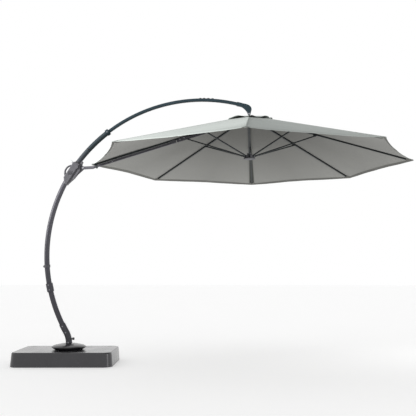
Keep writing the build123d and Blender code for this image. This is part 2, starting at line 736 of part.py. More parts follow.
def carriage_body():
    """Both shells of the carriage as one block, before it is split."""
    with BuildPart() as body:
        with BuildSketch(carriage):
            outline(
                (shell_inner, SHELL_BOTTOM),
                (-8, SHELL_BOTTOM),
                (SHELL_OUT, -90),
                (SHELL_OUT, SHELL_TOP),
                (18, SHELL_TOP + 8),
                (shell_inner, SHELL_TOP + 14),
            )
        extrude(amount=SHELL_HALF_DEPTH, both=True)
        fillet(body.edges().filter_by(Axis.Y), radius=8)
        fillet(body.faces().filter_by(Axis.Y).edges(), radius=7)
        with BuildSketch(carriage):
            outline((-30, 94), (-50, 78), (-66, 40), (-58, -40), (shell_inner, -128), (-30, -128))
        extrude(amount=SHELL_HALF_DEPTH - 12, both=True)
        with BuildSketch(carriage):
            outline((-26, 84), (-26, 134), (-42, 130), (-48, 104), (-48, 84))
        extrude(amount=EAR_HALF + 6, both=True)
        with BuildSketch(carriage):
            with Locations(ear_spot):
                Circle(EAR_RADIUS)
            with Locations((-32, -110), (-32, 100)):
                Circle(2)
            make_hull()
        extrude(amount=EAR_HALF, both=True)
        with BuildSketch(carriage):
            with Locations(LEVER_PIVOT):
                Circle(7)
            with Locations((SHELL_OUT - 2, LEVER_PIVOT[1] - 3)):
                Rectangle(2, 26)
            make_hull()
        extrude(amount=LEVER_GAP + 5, both=True)
        with BuildSketch(carriage):
            with Locations((LEVER_PIVOT[0] + 3, LEVER_PIVOT[1])):
                Rectangle(22, 40)
        extrude(amount=LEVER_GAP, both=True, mode=Mode.SUBTRACT)
        with BuildSketch(carriage):
            with Locations((-17, 57)):
                Circle(BADGE_RADIUS)
        extrude(amount=SHELL_HALF_DEPTH + 4, both=True)
        with BuildSketch(carriage):
            for step in range(GRIP_BARS):
                along = GRIP_BAR_PITCH * step
                with Locations((12 - along * cos(radians(upright)), along * sin(radians(upright)) - 32)):
                    RectangleRounded(4.5, 40, 2, rotation=-upright)
        extrude(amount=SHELL_HALF_DEPTH + 2.5, both=True)
        add(arc_tube(CARRIAGE_ANGLE + 8, CARRIAGE_ANGLE - 8, LINER_OUTER), mode=Mode.SUBTRACT)
        with BuildSketch(carriage):
            with Locations(ear_spot):
                Circle(ARM_PIN_RADIUS)
            with Locations(LEVER_PIVOT):
                Circle(PIN_RADIUS + RUNNING)
        extrude(amount=60, both=True, mode=Mode.SUBTRACT)
    return body.part


whole_carriage = carriage_body()
for side, name in ((-1, "carriage_front_shell"), (1, "carriage_back_shell")):
    with BuildPart() as shell:
        add(whole_carriage)
        with BuildSketch(carriage.offset(side * SPLIT_GAP)):
            Rectangle(600, 600)
        extrude(amount=side * 100, mode=Mode.INTERSECT)
    save(shell.part, name)

with BuildPart() as mast_liners:
    add(arc_tube(CARRIAGE_ANGLE + 3.6, CARRIAGE_ANGLE + 2.6, LINER_OUTER, LINER_INNER))
    add(arc_tube(CARRIAGE_ANGLE - 3.2, CARRIAGE_ANGLE - 4.2, LINER_OUTER, LINER_INNER))
save(mast_liners.part, "mast_liners")

with BuildPart() as loop_handle:
    with BuildSketch(carriage):
        with BuildLine():
            outer = ThreePointArc((18, 62), (69, -8), (18, -86))
            bottom = Line(outer @ 1, (18, -66))
            inner = ThreePointArc(bottom @ 1, (55, -10), (18, 46))
            Line(inner @ 1, outer @ 0)
        make_face()
        with Locations((0, 0)):
            Rectangle(2 * SHELL_OUT, 400, mode=Mode.SUBTRACT)
    extrude(amount=LOOP_HALF_DEPTH, both=True)
    fillet(loop_handle.edges().filter_by(GeomType.CIRCLE), radius=5)
save(loop_handle.part, "loop_handle")

with BuildPart() as release_lever:
    with BuildSketch(carriage):
        with Locations(LEVER_PIVOT):
            Circle(6)
        with Locations(LEVER_TIP):
            Circle(3)
        make_hull()
    extrude(amount=LEVER_GAP - 0.6, both=True)
    with BuildSketch(carriage):
        with Locations(LEVER_PIVOT):
            Circle(PIN_RADIUS)
    extrude(amount=LEVER_GAP + 5, both=True)
save(release_lever.part, "release_lever")

with BuildPart() as arm_pin:
    with BuildSketch(Plane.XZ):
        with Locations((ARM_PIVOT_X, ARM_PIVOT_Z)):
            Circle(ARM_PIN_RADIUS)
    extrude(amount=ARM_WIDTH / 2 + 6, both=True)
    for side in (-1, 1):
        with BuildSketch(Plane.XZ.offset(side * (ARM_WIDTH / 2 + 5.4))):
            with Locations((ARM_PIVOT_X, ARM_PIVOT_Z)):
                Circle(10)
        extrude(amount=side * 3)
save(arm_pin.part, "arm_pin")
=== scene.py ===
import json
import math

import bmesh
import bpy
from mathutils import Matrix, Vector, noise


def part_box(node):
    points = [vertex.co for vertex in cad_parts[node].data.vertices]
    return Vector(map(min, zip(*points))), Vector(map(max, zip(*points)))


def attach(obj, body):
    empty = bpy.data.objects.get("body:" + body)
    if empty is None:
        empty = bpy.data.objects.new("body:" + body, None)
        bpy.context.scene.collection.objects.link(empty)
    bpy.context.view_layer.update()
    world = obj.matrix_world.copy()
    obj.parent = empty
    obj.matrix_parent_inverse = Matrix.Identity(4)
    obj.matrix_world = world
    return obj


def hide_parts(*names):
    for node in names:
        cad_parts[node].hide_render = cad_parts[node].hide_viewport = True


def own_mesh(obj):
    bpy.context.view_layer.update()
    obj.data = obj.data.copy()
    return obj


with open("model.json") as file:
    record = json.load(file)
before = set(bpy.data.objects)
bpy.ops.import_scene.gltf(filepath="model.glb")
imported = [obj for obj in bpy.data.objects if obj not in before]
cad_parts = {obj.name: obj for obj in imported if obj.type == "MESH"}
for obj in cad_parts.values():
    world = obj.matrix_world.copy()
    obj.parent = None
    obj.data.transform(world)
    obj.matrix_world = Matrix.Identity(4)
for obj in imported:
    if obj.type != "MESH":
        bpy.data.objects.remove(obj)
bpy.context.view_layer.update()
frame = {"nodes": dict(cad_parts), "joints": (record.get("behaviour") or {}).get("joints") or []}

# A cantilever parasol, open. Metres, +Z up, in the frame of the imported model.

scene = bpy.context.scene
scene.view_settings.view_transform = "Standard"

# ---- driving dimensions ------------------------------------------------------------------------------

# Camera: where it stands, how far it looks up and to the left, its lens and its sensor
CAMERA_AT = (1.790, -6.173, 0.796)
CAMERA_UP = 0.1030
CAMERA_LEFT = 0.0804
CAMERA_LENS = 57.9
CAMERA_SENSOR = 36

# Light: each lamp's place, target, radius, power and cone in degrees. Then the world, floor and backdrop
LAMPS = {
    "key": ((-5.5, -3.5, 2.5), (1.1, -0.5, 2.15), 0.6, 6000, 26),
    "low_right": ((8.0, -3.0, 1.0), (0.9, 0.0, 2.05), 0.9, 900, 26),
}
LAMP_BLEND = 0.7
WORLD_LIGHT = 0.60
BACKDROP_LIGHT = 1.0
FLOOR_SIZE = 120
FLOOR_GLOW = 0.42

# Canopy: eight ribs, and a gore of cloth centred on each
RIBS = 8
HALF_GORE = math.pi / RIBS
CANOPY_RADIUS = 1.500
SCALLOP = 0.038
RIB_SLOPE = math.radians(16.5)
RIB_RISE = math.tan(RIB_SLOPE)
RIB_TOP = 0.007
HINGE_RADIUS = 0.036
APEX_HOLE = 0.016
CLOTH_GAP = 0.0016
CLOTH = 0.0012
GORE_COLUMNS = 12
GORE_ROWS = 38
COLUMN_SPREAD = 1.2

# Hem: its width, the gap before it, its extra thickness, and how far it turns down at and between tips
HEM_WIDTH = 0.024
HEM_GAP = 0.0015
HEM_EXTRA = 0.0005
HEM_DROPS = (0.003, 0.009)

# Hang of the cloth: sag, ripples as (number to a metre, seed, height), and the pull towards each tip
SAG = 0.013
SAG_START = 1.3
SAG_END = 0.5
RIPPLES = ((3.1, 0.7, 0.006), (8.0, 3.1, 0.0022))
PULL_HEIGHT = 0.0022
PULL_FADE = 0.22
PULL_START = 0.05
PULL_RAYS = 16
PULL_CENTRE = 0.02

# Room over rib 1 for the arm's sliding shoe: where the shoe is when folded, and the rise of the cloth there
SHOE_STOP = 1.156
SHOE_LENGTH = 0.16
SHOE_WIDTH = 0.10
SHOE_ROOM = 0.0045

# Vent cap: where its edge stands up, in degrees round from rib 3, with the height and half width of each
VENT_RADIUS = 0.258
VENT_SCALLOP = 0.014
VENT_GAP = 0.003
VENT_LIFT = 0.004
VENT_CURL = 1.5
VENT_HEM = 0.010
VENT_ROWS = 10
VENT_COLUMNS = 12
VENT_BUMPS = (
    (-26, 0.030, 14),
    (8, 0.016, 8),
    (39, 0.021, 9),
    (69, 0.034, 8),
    (118, 0.012, 12),
    (158, 0.016, 10),
    (204, 0.014, 11),
    (248, 0.012, 12),
    (292, 0.008, 9),
)

# Tapes: seams on top of the cloth and bands under it, along each rib
TAPE = 0.0008
TAPE_ROWS = 36
TAPE_LIFT = 0.0002
TAPE_GAP = 0.0001
TAPE_ARCH = 0.0004
SEAM_SPAN = (0.19, 1.494)
SEAM_HALF_WIDTHS = (0.0085, 0.0085)
BAND_SPAN = (0.66, 1.462)
BAND_HALF_WIDTHS = (0.009, 0.009)
WIDE_BAND_HALF_WIDTHS = (0.013, 0.027)
WIDE_BAND_RIB = 7

# Tip pockets: length along the rib, outline, and the bag of the lower layer round the rib's end
POCKET_ROWS = 10
POCKET_COLUMNS = 6
POCKET_REACH = 0.070
POCKET_INSET = 0.002
POCKET_TAPER = 2.1
POCKET_TIP = 0.001
POCKET_NARROW = 0.010
POCKET_SWELL = 0.020
POCKET_START = 0.08
POCKET_GROWTH = 2.2
POCKET_DEPTH = 0.016
POCKET_BAG_LENGTH = 0.045
POCKET_BAG_WIDTH = 0.0105
POCKET_OVER = 0.0006
POCKET_UNDER = 0.0030
POCKET_CLOTH = 0.0011

# Stitches: length of one with its gap, the share that is thread, half width, and two rows' distance out
STITCH_PITCH = 0.0042
STITCH_SHARE = 0.72
STITCH_HALF_WIDTH = 0.0006
STITCH_ROWS = 0.005

# Mast arc, for the pieces that sit on it
ARC_RADIUS = 1.440
BOOM_HALF_HEIGHT = 0.014

# Plates on rib 1: span along the rib, height, half width of the rib with a plate, and distance below
PLATE_SPAN = (0.395, 0.680)
PLATE_HEIGHT = 0.022
PLATE_CORNER = 0.009
PLATE_SIDE = 0.0128
PLATE_BELOW = 0.019
PLATE_THICKNESS = 0.003
BRACKET_ALONG = 0.625
BRACKET_LENGTH = 0.074
BRACKET_CORNER = 0.006
BRACKET_FRONT = 0.0160
BRACKET_BELOW = 0.012
BRACKET_SCREWS = (0.604, 0.646)
BRACKET_SCREW_FRONT = 0.0175
BRACKET_SCREW_RADIUS = 0.0065

# Screws and rubber parts. Profiles are (radius, height), and a screw's radii are shares of its own
SCREW_PROFILE = ((1.0, -0.001), (1.0, 0.0008), (0.85, 0.0019), (0.50, 0.0024), (0.44, 0.0023), (0.40, 0.0012))
SCREW_SEGMENTS = 18
ARM_SCREWS_X = (0.374, 0.172)
ARM_SCREWS_BELOW = 0.023
ARM_SCREW_RADIUS = 0.006
FOOT_SCREWS = ((-0.026, 0.285), (0.0, 0.196))
FOOT_SCREW_FRONT = 0.0292
FOOT_SCREW_RADIUS = 0.0062
BUMPER_ANGLES = (89.6, 88.2, 86.6, 85.0)
BUMPER_PROFILE = ((0.013, -0.001), (0.013, 0.001), (0.0115, 0.004), (0.007, 0.0062), (0.002, 0.0068))
BUTTON_ANGLE = 137.2
BUTTON_FRONT = 0.0275
BUTTON_PROFILE = ((0.0075, -0.0035), (0.0075, 0.0006), (0.0055, 0.0028), (0.002, 0.0034))

# Edges of small pieces
LATHE_SEGMENTS = 24
SOFT_EDGE = 0.0006
PRISM_EDGE = 0.0008
SOFT_EDGE_SEGMENTS = 2
SOFT_EDGE_ANGLE = math.radians(35)
CORNER_STEPS = 5

# Hard materials: patches and scuffs to a metre, and how a rubbed spot differs
PATCHES = 7.0
SCUFFS = 60.0
RUBBED_FROM_TO = (0.58, 0.75)
RUBBED_SHARE = 0.5
RUBBED_GAIN = 1.7
RUBBED_LIFT = 0.012
RUBBED_DULL = 0.12
COAT_ROUGHNESS = 0.35
GRAIN_BUMP = 0.5
PATCH_BUMP = 0.2
PATCH_DEEPER = 5
# Heights over which the paint turns to painted shade, standing in for the canopy's shade on the upper mast
PAINTED_SHADE_HEIGHTS = (1.80, 2.02)

# Cloth materials: threads, clouds, thick threads and creases, and the painted shade of the inside, which
# fades outward from the apex
THREADS = 210.0
THREAD_WANDER = 0.6
THREAD_SHADE = 0.30
THREAD_DARKER = 0.82
CLOUDS = 2.2
SLUB_STRETCH = (60, 900, 1)
SLUB_FROM_TO = (0.55, 0.8)
SLUB_SHARE = 0.35
SLUB_LIGHTER = 1.12
APEX_SHADE_FROM_TO = (0.35, 1.5)
STITCH_DARKER = 0.55
STITCH_BUMP = (0.8, 0.0006)
CLOTH_ROUGHNESS = (0.78, 0.9)
SHEEN_ROUGHNESS = 0.5
CLOTH_GLOSS = 0.03
WEAVE_BUMP = (0.35, 0.0002)
CREASES = 9.0
CREASE_BUMP = (0.25, 0.004)


def joint(name):
    """The joint of this name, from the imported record."""
    return next(each for each in frame["joints"] if each["name"] == name)


ARC_CENTRE = Vector(joint("handle_slide")["pos_m"])
CANOPY_CENTRE = Vector((joint("crown_tilt")["pos_m"][0], 0, 0))
CROWN_Z = joint("rib_1_fold")["pos_m"][2]
APEX_Z = CROWN_Z + HINGE_RADIUS * RIB_RISE + (RIB_TOP + CLOTH_GAP) / math.cos(RIB_SLOPE)


# ---- materials ---------------------------------------------------------------------------------------

def shader(name):
    """A new material, its nodes, its links and its main shader."""
    material = bpy.data.materials.new(name)
    material.use_nodes = True
    nodes = material.node_tree.nodes
    return material, nodes, material.node_tree.links, nodes["Principled BSDF"]


def coordinates(nodes, links, kind, scale=(1, 1, 1)):
    """Texture coordinates of this kind, stretched by scale."""
    source = nodes.new("ShaderNodeTexCoord")
    mapping = nodes.new("ShaderNodeMapping")
    mapping.inputs["Scale"].default_value = scale
    links.new(source.outputs[kind], mapping.inputs["Vector"])
    return mapping.outputs["Vector"]


def separate(nodes, links, vector):
    """The X, Y and Z of a vector."""
    node = nodes.new("ShaderNodeSeparateXYZ")
    links.new(vector, node.inputs["Vector"])
    return node.outputs


def noise_value(nodes, links, vector, scale, detail=3.0, roughness=0.55):
    """A noise pattern from 0 to 1."""
    texture = nodes.new("ShaderNodeTexNoise")
    texture.inputs["Scale"].default_value = scale
    texture.inputs["Detail"].default_value = detail
    texture.inputs["Roughness"].default_value = roughness
    links.new(vector, texture.inputs["Vector"])
    return texture.outputs["Fac"]


def ramp(nodes, links, value, low, high, start=0.3, end=0.7):
    """Colour that goes from low to high as value goes from start to end."""
    node = nodes.new("ShaderNodeValToRGB")
    node.color_ramp.elements[0].position = start
    node.color_ramp.elements[0].color = (*low, 1)
    node.color_ramp.elements[1].position = end
    node.color_ramp.elements[1].color = (*high, 1)
    links.new(value, node.inputs["Fac"])
    return node.outputs["Color"]


def span(nodes, links, value, low, high, start=0.3, end=0.7):
    """Number that goes from low to high as value goes from start to end."""
    node = nodes.new("ShaderNodeMapRange")
    node.inputs["From Min"].default_value = start
    node.inputs["From Max"].default_value = end
    node.inputs["To Min"].default_value = low
    node.inputs["To Max"].default_value = high
    links.new(value, node.inputs["Value"])
    return node.outputs["Result"]


def maths(nodes, links, operation, first, second=0):
    """Two values joined by an operation. Either may be a plain number."""
    node = nodes.new("ShaderNodeMath")
    node.operation = operation
    for socket, value in zip(node.inputs, (first, second)):
        if isinstance(value, (int, float)):
            socket.default_value = value
        else:
            links.new(value, socket)
    return node.outputs["Value"]


def mix_colour(nodes, links, factor, first, second):
    """First colour where factor is 0 and second where it is 1. The second may be a plain colour."""
    node = nodes.new("ShaderNodeMix")
    node.data_type = "RGBA"
    links.new(factor, node.inputs["Factor"])
    links.new(first, node.inputs["A"])
    if isinstance(second, tuple):
        node.inputs["B"].default_value = (*second, 1)
    else:
        links.new(second, node.inputs["B"])
    return node.outputs["Result"]


def bump(nodes, links, bsdf, height, strength, distance):
    """Bump from a height, on top of any bump already there."""
    node = nodes.new("ShaderNodeBump")
    node.inputs["Strength"].default_value = strength
    node.inputs["Distance"].default_value = distance
    links.new(height, node.inputs["Height"])
    if bsdf.inputs["Normal"].is_linked:
        links.new(bsdf.inputs["Normal"].links[0].from_socket, node.inputs["Normal"])
    links.new(node.outputs["Normal"], bsdf.inputs["Normal"])


def hard_material(
    name, low, high, rough, metallic=0.0, grain=900.0, depth=0.00012, coat=0.0, gloss=0.5, painted_shade_aloft=None,
):
    """Moulded plastic, rubber or painted metal: mottled, with uneven gloss, fine grain and, if given a
    colour, painted shade high up.
    """
    material, nodes, links, bsdf = shader(name)
    place = coordinates(nodes, links, "Object")
    patches = noise_value(nodes, links, place, PATCHES, detail=6.0)
    scuffs = noise_value(nodes, links, place, SCUFFS, detail=4.0, roughness=0.7)
    fine = noise_value(nodes, links, place, grain, detail=2.0)
    colour = ramp(nodes, links, patches, low, high)
    # Painted shade: high up the colour turns to the given darker one, standing in for the canopy's shade
    if painted_shade_aloft:
        height = span(nodes, links, separate(nodes, links, place)["Z"], 0.0, 1.0, *PAINTED_SHADE_HEIGHTS)
        colour = mix_colour(nodes, links, height, colour, painted_shade_aloft)
    rubbed = span(nodes, links, scuffs, 0.0, RUBBED_SHARE, *RUBBED_FROM_TO)
    worn = tuple(min(1.0, RUBBED_GAIN * part + RUBBED_LIFT) for part in high)
    links.new(mix_colour(nodes, links, rubbed, colour, worn), bsdf.inputs["Base Color"])
    dull = maths(nodes, links, "MULTIPLY", rubbed, RUBBED_DULL)
    links.new(maths(nodes, links, "ADD", span(nodes, links, patches, *rough), dull), bsdf.inputs["Roughness"])
    bsdf.inputs["Metallic"].default_value = metallic
    bsdf.inputs["Specular IOR Level"].default_value = gloss
    bsdf.inputs["Coat Weight"].default_value = coat
    bsdf.inputs["Coat Roughness"].default_value = COAT_ROUGHNESS
    bump(nodes, links, bsdf, fine, GRAIN_BUMP, depth)
    bump(nodes, links, bsdf, patches, PATCH_BUMP, PATCH_DEEPER * depth)
    return material


def thread_pattern(nodes, links, cut):
    """Threads that cross at right angles, from 0 between them to 1 on top of both."""
    threads = []
    for direction in ("X", "Y"):
        wave = nodes.new("ShaderNodeTexWave")
        wave.bands_direction = direction
        wave.inputs["Scale"].default_value = THREADS
        wave.inputs["Distortion"].default_value = THREAD_WANDER
        wave.inputs["Detail"].default_value = 1.0
        links.new(cut, wave.inputs["Vector"])
        threads.append(wave.outputs["Fac"])
    return maths(nodes, links, "MULTIPLY", *threads)


def stitch_pattern(nodes, links, cut):
    """Two rows of stitches along the cloth, 1 on the thread and 0 off it."""
    parts = separate(nodes, links, cut)
    dash = maths(nodes, links, "MULTIPLY", parts["Y"], 1 / STITCH_PITCH)
    dash = maths(nodes, links, "FRACT", dash)
    dash = maths(nodes, links, "LESS_THAN", dash, STITCH_SHARE)
    rows = []
    for across in (-STITCH_ROWS, STITCH_ROWS):
        away = maths(nodes, links, "SUBTRACT", parts["X"], across)
        away = maths(nodes, links, "ABSOLUTE", away)
        rows.append(maths(nodes, links, "LESS_THAN", away, STITCH_HALF_WIDTH))
    return maths(nodes, links, "MULTIPLY", dash, maths(nodes, links, "MAXIMUM", *rows))


def cloth_material(name, low, high, sheen, stitches=False, apex_shade_colour=None):
    """Woven cloth on UV in metres: thread pattern, slubs, soft stains and two rows of stitches."""
    material, nodes, links, bsdf = shader(name)
    cut = coordinates(nodes, links, "UV")
    place = coordinates(nodes, links, "Object")
    weave = thread_pattern(nodes, links, cut)
    cloud = noise_value(nodes, links, place, CLOUDS, detail=5.0)
    slub = noise_value(nodes, links, coordinates(nodes, links, "UV", SLUB_STRETCH), 1.0, detail=2.0)
    colour = ramp(nodes, links, cloud, low, high, start=0.25, end=0.75)
    # Painted shade: towards the apex the underside turns to a darker colour, standing in for the deeper shade
    # there
    if apex_shade_colour:
        outward = span(nodes, links, separate(nodes, links, cut)["Y"], 0.0, 1.0, *APEX_SHADE_FROM_TO)
        dim = ramp(nodes, links, cloud, apex_shade_colour, apex_shade_colour)
        colour = mix_colour(nodes, links, outward, dim, colour)
    darker = tuple(THREAD_DARKER * part for part in low)
    threadwise = span(nodes, links, weave, THREAD_SHADE, 0.0, start=0.0, end=0.5)
    colour = mix_colour(nodes, links, threadwise, colour, darker)
    slubwise = span(nodes, links, slub, 0.0, SLUB_SHARE, *SLUB_FROM_TO)
    colour = mix_colour(nodes, links, slubwise, colour, tuple(min(1.0, SLUB_LIGHTER * part) for part in high))
    if stitches:
        stitch = stitch_pattern(nodes, links, cut)
        colour = mix_colour(nodes, links, stitch, colour, tuple(STITCH_DARKER * part for part in low))
        bump(nodes, links, bsdf, stitch, *STITCH_BUMP)
    links.new(colour, bsdf.inputs["Base Color"])
    links.new(span(nodes, links, cloud, *CLOTH_ROUGHNESS), bsdf.inputs["Roughness"])
    bsdf.inputs["Sheen Weight"].default_value = sheen
    bsdf.inputs["Sheen Roughness"].default_value = SHEEN_ROUGHNESS
    bsdf.inputs["Specular IOR Level"].default_value = CLOTH_GLOSS
    bump(nodes, links, bsdf, weave, *WEAVE_BUMP)
    bump(nodes, links, bsdf, noise_value(nodes, links, place, CREASES, detail=4.0), *CREASE_BUMP)
    return material


TEAL = (0.010, 0.019, 0.024)
base_plastic = hard_material(
    "base_plastic", (0.028, 0.027, 0.031), (0.036, 0.035, 0.040), (0.16, 0.24), depth=0.00001, coat=0.2,
)
ballast = hard_material("ballast", (0.40, 0.35, 0.28), (0.55, 0.50, 0.42), (0.85, 0.95), grain=500.0)
foot_rubber = hard_material("foot_rubber", (0.010, 0.010, 0.010), (0.018, 0.018, 0.018), (0.75, 0.9))
# Painted shade: the frame paint turns to TEAL high up, where the canopy shades the mast
frame_paint = hard_material(
    "frame_paint", (0.050, 0.049, 0.059), (0.062, 0.061, 0.073), (0.42, 0.52), 0.15, gloss=0.35, painted_shade_aloft=TEAL,
)
boom_paint = hard_material("boom_paint", TEAL, (0.015, 0.027, 0.034), (0.42, 0.52), 0.1, gloss=0.2)
arm_paint = hard_material(
    "arm_paint", (0.056, 0.054, 0.064), (0.070, 0.068, 0.080), (0.38, 0.52), 0.35, coat=0.2,
)
rib_paint = hard_material(
    "rib_paint", (0.006, 0.010, 0.011), (0.012, 0.017, 0.019), (0.4, 0.55), 0.3, coat=0.15,
)
fittings = hard_material(
    "fittings_plastic", (0.050, 0.049, 0.056), (0.064, 0.063, 0.072), (0.42, 0.56), grain=1400.0,
)
bearing = hard_material("bearing_plastic", (0.020, 0.020, 0.022), (0.030, 0.030, 0.033), (0.4, 0.55))
steel = hard_material("bright_steel", (0.26, 0.26, 0.28), (0.36, 0.36, 0.38), (0.3, 0.45), 1.0, depth=0.00004)
alloy = hard_material("light_alloy", (0.40, 0.42, 0.42), (0.52, 0.54, 0.54), (0.3, 0.45), 0.9)
cloth_outside = cloth_material("cloth_outside", (0.37, 0.40, 0.38), (0.43, 0.46, 0.44), 0.05)
# Painted shade: the cloth's underside is a darker copy of its outside, standing in for the shade under the
# canopy
cloth_underside_shaded = cloth_material(
    "cloth_underside_shaded", (0.31, 0.31, 0.295), (0.345, 0.344, 0.328), 0.02, apex_shade_colour=(0.140, 0.140, 0.130),
)
cloth_hem = cloth_material("cloth_hem", (0.36, 0.39, 0.37), (0.42, 0.45, 0.43), 0.05, stitches=True)
cloth_band = cloth_material("cloth_band", (0.085, 0.090, 0.080), (0.110, 0.115, 0.105), 0.1, stitches=True)
cloth_tape = cloth_material("cloth_tape", (0.165, 0.164, 0.152), (0.195, 0.194, 0.182), 0.1, stitches=True)

SLOT_MATERIALS = {
    "base_plastic": base_plastic,
    "ballast": ballast,
    "foot_rubber": foot_rubber,
    "frame_paint": frame_paint,
    "arm_paint": arm_paint,
    "rib_paint": rib_paint,
    "boom_paint": boom_paint,
    "fittings_plastic": fittings,
    "bearing_plastic": bearing,
    "bright_steel": steel,
    "light_alloy": alloy,
    "canopy_cloth": cloth_outside,
}
for node in frame["nodes"].values():
    for place in node.material_slots:
        place.material = SLOT_MATERIALS[place.material.name.split(".")[0]]


# ---- mesh helpers ------------------------------------------------------------------------------------

def finish_mesh(name, mesh, body, materials):
    """Add a mesh to the scene as a piece that rides on a body."""
    bm = bmesh.new()
    bm.from_mesh(mesh)
    bmesh.ops.recalc_face_normals(bm, faces=bm.faces)
    bm.to_mesh(mesh)
    bm.free()
    for material in materials:
        mesh.materials.append(material)
    for face in mesh.polygons:
        face.use_smooth = True
    piece = bpy.data.objects.new(name, mesh)
    scene.collection.objects.link(piece)
    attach(piece, body)
    return piece


def border_of(rows, columns):
    """Numbers of the points round the border of a grid, in order."""
    ring = list(range(columns))
    ring += [row * columns + columns - 1 for row in range(1, rows)]
    ring += [(rows - 1) * columns + column for column in range(columns - 2, -1, -1)]
    ring += [row * columns for row in range(rows - 2, 0, -1)]
    return ring


def layered_sheet(name, grid, body, materials):
    """Cloth with two faces and an edge. The grid holds rows of (underside point, top point, UV)."""
    rows = len(grid)
    columns = len(grid[0])
    points = [cell[side] for side in (0, 1) for line in grid for cell in line]
    places = [cell[2] for side in (0, 1) for line in grid for cell in line]
    top = rows * columns
    faces, kinds = [], []
    for row in range(rows - 1):
        for column in range(columns - 1):
            first = row * columns + column
            under = (first, first + 1, first + columns + 1, first + columns)
            faces.append(under)
            faces.append(tuple(top + each for each in reversed(under)))
            kinds += [1, 0]
    ring = border_of(rows, columns)
    sides = list(zip(ring, ring[1:] + ring[:1]))
    for here, there in sides:
        faces.append((here, top + here, top + there, there))
        kinds.append(0)
    mesh = bpy.data.meshes.new(name)
    mesh.from_pydata(points, [], faces)
    layer = mesh.uv_layers.new(name="UVMap")
    for face, kind in zip(mesh.polygons, kinds):
        face.material_index = kind
        for corner in face.loop_indices:
            layer.data[corner].uv = places[mesh.loops[corner].vertex_index]
    border = {tuple(sorted(pair)) for pair in sides}
    border |= {(top + here, top + there) for here, there in border}
    piece = finish_mesh(name, mesh, body, materials)
    for edge in piece.data.edges:
        edge.use_edge_sharp = tuple(sorted(edge.vertices)) in border
    return piece


def soften_edges(piece, width):
    """Soften a piece's hard edges."""
    soft = piece.modifiers.new("soft_edges", "BEVEL")
    soft.width = width
    soft.segments = SOFT_EDGE_SEGMENTS
    soft.limit_method = "ANGLE"
    soft.angle_limit = SOFT_EDGE_ANGLE
    soft.harden_normals = True


def lathe(name, profile, centre, axis, body, material, segments=LATHE_SEGMENTS):
    """Round piece from a profile of (radius, height) along an axis, with a closed start and end."""
    axis = Vector(axis).normalized()
    centre = Vector(centre)
    side = axis.orthogonal().normalized()
    up = axis.cross(side).normalized()
    points, faces = [], []
    for radius, height in profile:
        for step in range(segments):
            turn = 2 * math.pi * step / segments
            points.append(centre + axis * height + (side * math.cos(turn) + up * math.sin(turn)) * radius)
    for ring in range(len(profile) - 1):
        for step in range(segments):
            first = ring * segments + step
            after = ring * segments + (step + 1) % segments
            faces.append((first, after, after + segments, first + segments))
    faces.append(tuple(range(segments)))
    faces.append(tuple(len(points) - segments + step for step in range(segments)))
    mesh = bpy.data.meshes.new(name)
    mesh.from_pydata(points, [], faces)
    piece = finish_mesh(name, mesh, body, [material])
    soften_edges(piece, SOFT_EDGE)


def prism(name, outline, origin, x_dir, y_dir, thickness, body, material):
    """Flat piece from an outline in the plane of two directions, half its thickness to each side."""
    origin, x_dir, y_dir = Vector(origin), Vector(x_dir).normalized(), Vector(y_dir).normalized()
    out = x_dir.cross(y_dir)
    count = len(outline)
    points = []
    for side in (-0.5, 0.5):
        points += [origin + x_dir * x + y_dir * y + out * thickness * side for x, y in outline]
    faces = [tuple(reversed(range(count))), tuple(range(count, 2 * count))]
    for step in range(count):
        after = (step + 1) % count
        faces.append((step, after, after + count, step + count))
    mesh = bpy.data.meshes.new(name)
    mesh.from_pydata(points, [], faces)
    piece = finish_mesh(name, mesh, body, [material])
    soften_edges(piece, PRISM_EDGE)


def rounded(length, height, radius):
    """Outline of a rectangle with round corners, centred on the origin."""
    points = []
    corners = ((1, 1, 0), (-1, 1, 90), (-1, -1, 180), (1, -1, 270))
    for x_side, y_side, start in corners:
        for step in range(CORNER_STEPS + 1):
            turn = math.radians(start + 90 * step / CORNER_STEPS)
            x = x_side * (length / 2 - radius) + radius * math.cos(turn)
            y = y_side * (height / 2 - radius) + radius * math.sin(turn)
            points.append((x, y))
    return points


def screw(name, centre, radius, body):
    """Domed screw head with a recess, on the front of a body."""
    profile = [(share * radius, height) for share, height in SCREW_PROFILE]
    lathe(name, profile, centre, (0, -1, 0), body, steel, segments=SCREW_SEGMENTS)


# ---- canopy ------------------------------------------------------------------------------------------

def rib_frame(index):
    """Hinge point of a rib, its direction outward, and the direction across it."""
    hinge = joint(f"rib_{index}_fold")
    across = Vector(hinge["axis"]).normalized()
    return Vector(hinge["pos_m"]), Vector((across.y, -across.x, 0)), across


def hem_reach(turn, radius, scallop):
    """Distance from the canopy's axis to a hem that curves in between two tips, this far round."""
    half_chord = radius * math.sin(HALF_GORE)
    middle = radius * math.cos(HALF_GORE) - scallop
    curve = (half_chord**2 + scallop**2) / (2 * scallop)
    centre = middle + curve
    away = HALF_GORE - turn
    return centre * math.cos(away) - math.sqrt(curve**2 - (centre * math.sin(away)) ** 2)


def shoe_room(x, spot):
    """How much higher the cloth lies over the sliding shoe on rib 1."""
    if spot.x > CANOPY_CENTRE.x:
        return 0.0
    along = (x - SHOE_STOP) / SHOE_LENGTH
    return SHOE_ROOM * math.exp(-(along**4) - (spot.y / SHOE_WIDTH) ** 4)


